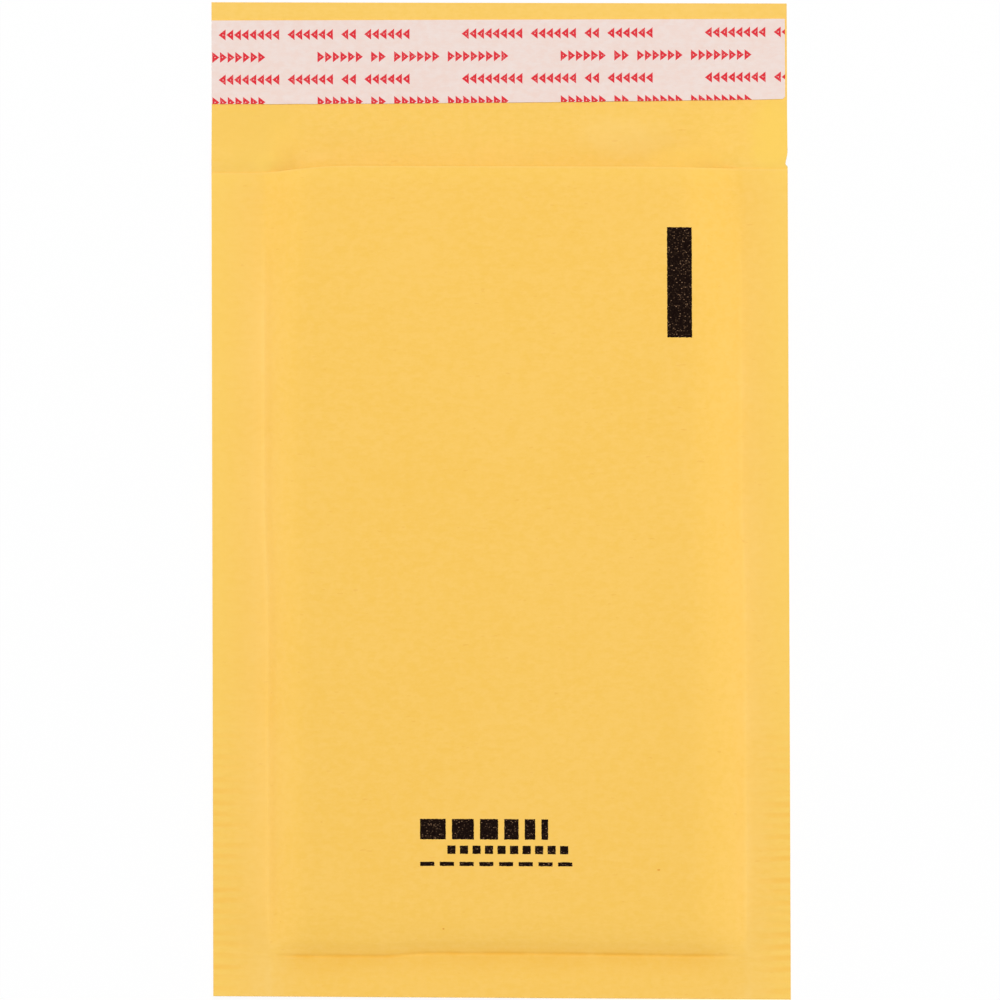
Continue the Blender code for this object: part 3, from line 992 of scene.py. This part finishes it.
def mark_row(shade, x, level, middle, start, way):
    """A row of small outlined arrow heads, in groups that repeat, pointing one way or the other."""
    turns = shade.math("DIVIDE", shade.times(shade.minus(x, start), way), GROUP_PITCH)
    in_group = shade.times(shade.math("FRACT", turns), GROUP_PITCH)
    words = shade.any_of(*[shade.within(in_group, first * CELL, last * CELL) for first, last in WORDS])
    in_cell = shade.times(shade.math("FRACT", shade.math("DIVIDE", in_group, CELL)), CELL)
    slope = MARK_HALF / MARK_LENGTH
    side = shade.scaled(in_cell, -slope, MARK_HALF + slope * MARK_START)
    inward = shade.minus(side, shade.distance(level, middle))
    whole = shade.times(shade.above(in_cell, MARK_START), shade.above(inward, 0.0))
    past_foot = shade.above(in_cell, MARK_START + STROKE)
    past_side = shade.above(inward, STROKE * math.sqrt(1.0 + slope * slope))
    drawn = shade.times(whole, shade.minus(1.0, shade.times(past_foot, past_side)))
    return shade.times(words, drawn)


def liner_paper():
    """Pale coated paper with rows of red marks, every other row the other way round."""
    shade = Shade("release_paper", LINER_ROUGHNESS, LINER_SPECULAR)
    colour, tooth = paper_tone(shade, LINER_PALE, LINER_DEEP)
    x, y = shade.axes(RED_RAGGEDNESS, RED_RAGGED_SIZE)
    level = shade.scaled(x, -DROOP - ROW_CLIMB, y)
    top_row = LINER_LOW.y + LINER_WIDTH - TOP_ROW_FROM_EDGE
    marks = []
    for row in range(ROWS):
        start, way = (UPRIGHT_START, 1.0) if row % 2 == 1 else (TURNED_START, -1.0)
        marks.append(mark_row(shade, x, level, top_row - row * ROW_PITCH, start, way))
    worn = shade.between(shade.noise(RED_WEAR_SIZE, detail=1.0), *RED_WEAR_RANGE)
    ink = shade.times(shade.any_of(*marks), shade.blend(worn, RED_LEAST, 1.0))
    shade.give("Base Color", shade.mix(ink, colour, LINER_RED))
    shade.bump(tooth, LINER_TOOTH)
    return shade.material


def clear_film():
    """Thin clear film with fine wrinkles."""
    shade = Shade("bubble_film", FILM_ROUGHNESS[0])
    haze = shade.noise(FILM_HAZE_SIZE, detail=3.0)
    shade.give("Base Color", shade.mix(haze, FILM_TINT, FILM_HAZE))
    shade.give("Roughness", shade.blend(haze, *FILM_ROUGHNESS))
    shade.give("Alpha", FILM_ALPHA)
    shade.bump(shade.noise(FILM_WRINKLE_SIZE, detail=3.0, roughness=0.6), FILM_WRINKLES)
    return shade.material


def sticky():
    """Adhesive film, faintly uneven."""
    shade = Shade("adhesive", GLUE_ROUGHNESS)
    haze = shade.noise(GLUE_HAZE_SIZE)
    shade.give("Base Color", shade.mix(haze, GLUE_TINT, GLUE_HAZE))
    shade.bump(haze, PAPER_TOOTH)
    return shade.material


# Pieces

def kraft_envelope():
    """The folded and seamed sheet, as one skin with both faces and its cut edges."""
    columns, rows = sheet_columns(), sheet_rows()
    points = [sheet_point(x, *row) for row in rows for x in columns]
    faces = grid_faces(len(columns), len(rows))
    obj = smooth_object("kraft_sheet", points, faces, kraft_printed(), kraft_inside(), kraft_edge())
    thicken(obj, PAPER, inner_slot=1, rim_slot=2)
    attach(obj, "root")
    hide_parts("kraft_envelope")


def film_height(x, y):
    """How far the film's outer face lies from the seam plane."""
    return max(0.5 * GLUE_LINE, INNER_LOFT * loft(x, y) - PAD_CLEARANCE)


def film_point(x, y, side, half):
    """A point of the upper or lower film, which follows its ply and draws back with the lip."""
    sunk = lip_droop(x, y) if side > 0 else 0.0
    drawn_back = min(0.0, lip_shift(x, y))
    return skewed(x + seam_drift(y), y + drawn_back, SEAM_Z + side * half - sunk + crease_lift(y))


def film_layer(points, faces, side):
    """The flat film of one layer, just inside the paper."""
    columns = merged(
        toward(LEFT_X, 1.0, (0.5, 1.5, 2.7, 4.0, 5.5, 7.5, 10.0, 12.0)),
        steps(LEFT_X + LEFT_SHOULDER, RIGHT_X - RIGHT_SHOULDER, FILM_STEP_X),
        toward(RIGHT_X, -1.0, (0.5, 1.5, 2.7, 4.0, 5.5, 7.5, 10.0, 13.0, 17.0)),
    )
    rows = merged(
        toward(CREASE_Y, 1.0, (0.5, 1.5, 3.0, 5.0, 8.0, 11.0, 14.0)),
        steps(CREASE_Y + FOLD_SHOULDER, PAD_HIGH.y, FILM_STEP_Y),
    )
    quads = grid_faces(len(columns), len(rows), len(points))
    faces.extend(quad if side > 0 else quad[::-1] for quad in quads)
    for y in rows:
        for x in columns:
            ripple = wave(x, y, FILM_WAVE, FILM_SLICE + side)
            points.append(film_point(x, y, side, max(0.0, film_height(x, y) + ripple)))


def bubble_places():
    """Centres of the bubbles in staggered rows, from the mouth down and from seam to seam."""
    row_pitch = BUBBLE_PITCH * BUBBLE_ROW_SHARE
    high = PAD_HIGH.y - BUBBLE_MOUTH_GAP - BUBBLE_RADIUS
    places = []
    for row in range(int((high - CREASE_Y) / row_pitch)):
        y = high - row * row_pitch
        stagger = (row % 2) / 2
        for column in range(-BUBBLE_COLUMNS, BUBBLE_COLUMNS + 1):
            x = BUBBLE_START_X + (column + stagger) * BUBBLE_PITCH
            sides = (loft(x - BUBBLE_RADIUS, y), loft(x + BUBBLE_RADIUS, y), loft(x, y - BUBBLE_RADIUS))
            if min(sides) > BUBBLE_LEAST_LOFT:
                places.append((x, y))
    return places


def bubble_profile(radius, height):
    """A squat bubble's rings from its foot inward, as (radius, height)."""
    round_side, round_top = BUBBLE_ROUNDNESS
    profile = []
    for ring in range(BUBBLE_RINGS):
        turn = math.pi / 2 * ring / BUBBLE_RINGS
        profile.append((radius * math.cos(turn) ** round_side, height * math.sin(turn) ** round_top))
    return profile


def bubble_points(x, y, side, radius, chance):
    """One air bubble that stands on the upper or lower film, a little uneven: its rings, then its tip."""
    foot = film_height(x, y)
    top = min(POCKET_GAP / 2 * chance.uniform(*BUBBLE_TOP_SPREAD), foot * BUBBLE_TOP_MOST)
    height = foot - top
    squash = chance.uniform(*BUBBLE_SQUASH)
    lean = (chance.uniform(*BUBBLE_LEAN), chance.uniform(*BUBBLE_LEAN))
    points = []
    for ring_radius, ring_height in bubble_profile(radius, height):
        for index in range(BUBBLE_SIDES):
            turn = 2 * math.pi * index / BUBBLE_SIDES
            at_x = x + ring_radius * squash * math.cos(turn)
            at_y = y + ring_radius / squash * math.sin(turn)
            tilt = 1.0 + lean[0] * math.cos(turn) + lean[1] * math.sin(turn)
            at_foot = film_height(at_x, at_y)
            half = at_foot + ring_height / height * (top - at_foot) * tilt
            points.append(film_point(at_x, at_y, side, half))
    points.append(film_point(x, y, side, top))
    return points


def bubble_faces(start, side):
    """Quads between a bubble's rings and triangles round its tip, facing into the pocket."""
    faces = []
    for ring in range(BUBBLE_RINGS):
        low = start + ring * BUBBLE_SIDES
        high = low + BUBBLE_SIDES
        for index in range(BUBBLE_SIDES):
            after = (index + 1) % BUBBLE_SIDES
            if ring < BUBBLE_RINGS - 1:
                face = (low + index, low + after, high + after, high + index)
            else:
                face = (low + index, low + after, high)
            faces.append(face if side < 0 else face[::-1])
    return faces


def bubble_film():
    """Both layers of the film and all their bubbles."""
    chance = random.Random(BUBBLE_SEED)
    points, faces = [], []
    for side in (-1, 1):
        film_layer(points, faces, side)
        for x, y in bubble_places():
            radius = BUBBLE_RADIUS * chance.uniform(*BUBBLE_RADIUS_SPREAD)
            faces.extend(bubble_faces(len(points), side))
            points.extend(bubble_points(x, y, side, radius, chance))
    obj = smooth_object("bubble_film", points, faces, clear_film())
    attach(obj, "root")
    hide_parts("bubble_lining")


def liner_point(x, share):
    """A point of the strip over the adhesive, this share of the way from its lower edge to its upper one."""
    across = (x - LINER_LOW.x) / (LINER_HIGH.x - LINER_LOW.x)
    wavy = wave(x, 0.0, LINER_EDGE_WAVE, LINER_EDGE_SLICE)
    low = LINER_LOW.y + LINER_LOW_RISE * across**LINER_BOW + wavy
    high = LINER_LOW.y + LINER_WIDTH + LINER_TOP_RISE * across
    y = low + share * (high - low)
    if x == LINER_HIGH.x:
        y = max(y, low + LINER_CORNER)
    near_edge = hill(share, LINER_LOOSE_EDGE) + hill(1.0 - share, LINER_LOOSE_EDGE)
    loose = 0.5 + grain(x, share, LINER_FLUTTER, LINER_LIFT_SLICE)
    lift = LINER_LIFT * loose * (LINER_INNER_LIFT + near_edge)
    return skewed(x, y, LINER_LOW.z + LINER_THICKNESS / 2 + max(0.0, lift))


def liner():
    """The strip over the adhesive. It lies a little askew, with a bowed lower edge and one clipped corner."""
    columns = [*steps(LINER_LOW.x, LINER_HIGH.x - LINER_CORNER, LINER_STEP), LINER_HIGH.x]
    rows = steps(0.0, 1.0, 1.0 / LINER_ROWS)
    points = [liner_point(x, share) for share in rows for x in columns]
    obj = smooth_object("release_liner_strip", points, grid_faces(len(columns), len(rows)), liner_paper())
    thicken(obj, LINER_THICKNESS)
    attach(obj, "root")
    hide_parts("release_liner")


def adhesive():
    """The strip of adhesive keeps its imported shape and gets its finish."""
    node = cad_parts["adhesive_strip"]
    node.data.materials.clear()
    node.data.materials.append(sticky())


# Camera, light and table. A lamp's share is of the light at which a white surface that faces it is white.
FRAME_SPAN = 263.8 * MM
CENTRE_IN_FRAME = (-0.15 * MM, 0.02 * MM)
LENS = 600.0
SENSOR = 36.0
CAMERA_REACH = 20.0
OVERHEAD_PLACE = (0.1, 0.8, 2.7)
OVERHEAD_SIZE = 0.5
OVERHEAD_SHARE = 0.80
LOW_DISTANCE = 1.4
LOW_HEIGHT = 0.13
LOW_SIZE = 0.22
SIDE_SHARE = 0.24
FOLD_SHARE = 0.26
EVEN_LIGHT = 0.17
TABLE_SIZE = 8.0
TABLE_Z = -0.2 * MM
TABLE_GLOW = 0.95


def camera():
    """A long lens straight above the mailer, with its flap at the top of the picture."""
    data = bpy.data.cameras.new("camera")
    data.lens = LENS
    data.sensor_width = SENSOR
    data.clip_end = CAMERA_REACH
    obj = bpy.data.objects.new("camera", data)
    obj.location = (*CENTRE_IN_FRAME, SEAM_Z / 2 + FRAME_SPAN * LENS / SENSOR)
    bpy.context.scene.collection.objects.link(obj)
    bpy.context.scene.camera = obj


def lamp(name, place, size, share):
    """A square soft light that aims at the mailer and isn't seen itself."""
    data = bpy.data.lights.new(name, "AREA")
    data.shape = "SQUARE"
    data.size = size
    data.energy = share * math.pi**2 * Vector(place).length_squared
    obj = bpy.data.objects.new(name, data)
    obj.location = place
    obj.rotation_mode = "QUATERNION"
    obj.rotation_quaternion = (-Vector(place)).to_track_quat("-Z", "Y")
    obj.visible_camera = False
    bpy.context.scene.collection.objects.link(obj)


def low_lamp(name, azimuth, share):
    """A lamp just above the table, on the given side, in degrees from +X."""
    turn = math.radians(azimuth)
    place = (LOW_DISTANCE * math.cos(turn), LOW_DISTANCE * math.sin(turn), LOW_HEIGHT)
    lamp(name, place, LOW_SIZE, share)


def lights():
    lamp("overhead_light", OVERHEAD_PLACE, OVERHEAD_SIZE, OVERHEAD_SHARE)
    low_lamp("left_light", 180.0, SIDE_SHARE)
    low_lamp("right_light", 0.0, SIDE_SHARE)
    low_lamp("fold_light", 270.0, FOLD_SHARE)


def background_rays(nodes, links):
    """1 for the rays that see the plain background: from the camera, mirrored or refracted."""
    rays = nodes.new("ShaderNodeLightPath")
    seen = rays.outputs["Is Camera Ray"]
    for kind in ("Is Glossy Ray", "Is Transmission Ray"):
        either = nodes.new("ShaderNodeMath")
        either.operation = "MAXIMUM"
        links.new(seen, either.inputs[0])
        links.new(rays.outputs[kind], either.inputs[1])
        seen = either.outputs["Value"]
    return seen


def white_surroundings():
    """White to the eye and in reflections, and a weak even light otherwise."""
    world = bpy.data.worlds.new("studio")
    bpy.context.scene.world = world
    world.use_nodes = True
    nodes, links = world.node_tree.nodes, world.node_tree.links
    strength = nodes.new("ShaderNodeMapRange")
    links.new(background_rays(nodes, links), strength.inputs["Value"])
    strength.inputs["To Min"].default_value = EVEN_LIGHT
    strength.inputs["To Max"].default_value = 1.0
    links.new(strength.outputs["Result"], nodes["Background"].inputs["Strength"])
    nodes["Background"].inputs["Color"].default_value = (1.0, 1.0, 1.0, 1.0)


def floor():
    """A plain white table, brightened to the eye so that only a faint shadow shows."""
    bpy.ops.mesh.primitive_plane_add(size=TABLE_SIZE, location=(0.0, 0.0, TABLE_Z))
    obj = bpy.context.object
    obj.name = "floor"
    shade = Shade("white_table", TABLE_ROUGHNESS)
    shade.give("Base Color", (*TABLE, 1.0))
    glow = shade.nodes.new("ShaderNodeEmission")
    blend = shade.nodes.new("ShaderNodeMixShader")
    seen = background_rays(shade.nodes, shade.links)
    shade.feed(blend.inputs["Fac"], shade.times(seen, TABLE_GLOW))
    shade.feed(blend.inputs[1], shade.shader.outputs["BSDF"])
    shade.feed(blend.inputs[2], glow.outputs["Emission"])
    shade.feed(shade.nodes["Material Output"].inputs["Surface"], blend.outputs["Shader"])
    obj.data.materials.append(shade.material)


kraft_envelope()
bubble_film()
liner()
adhesive()
floor()
white_surroundings()
lights()
camera()
bpy.context.scene.view_settings.view_transform = "Standard"
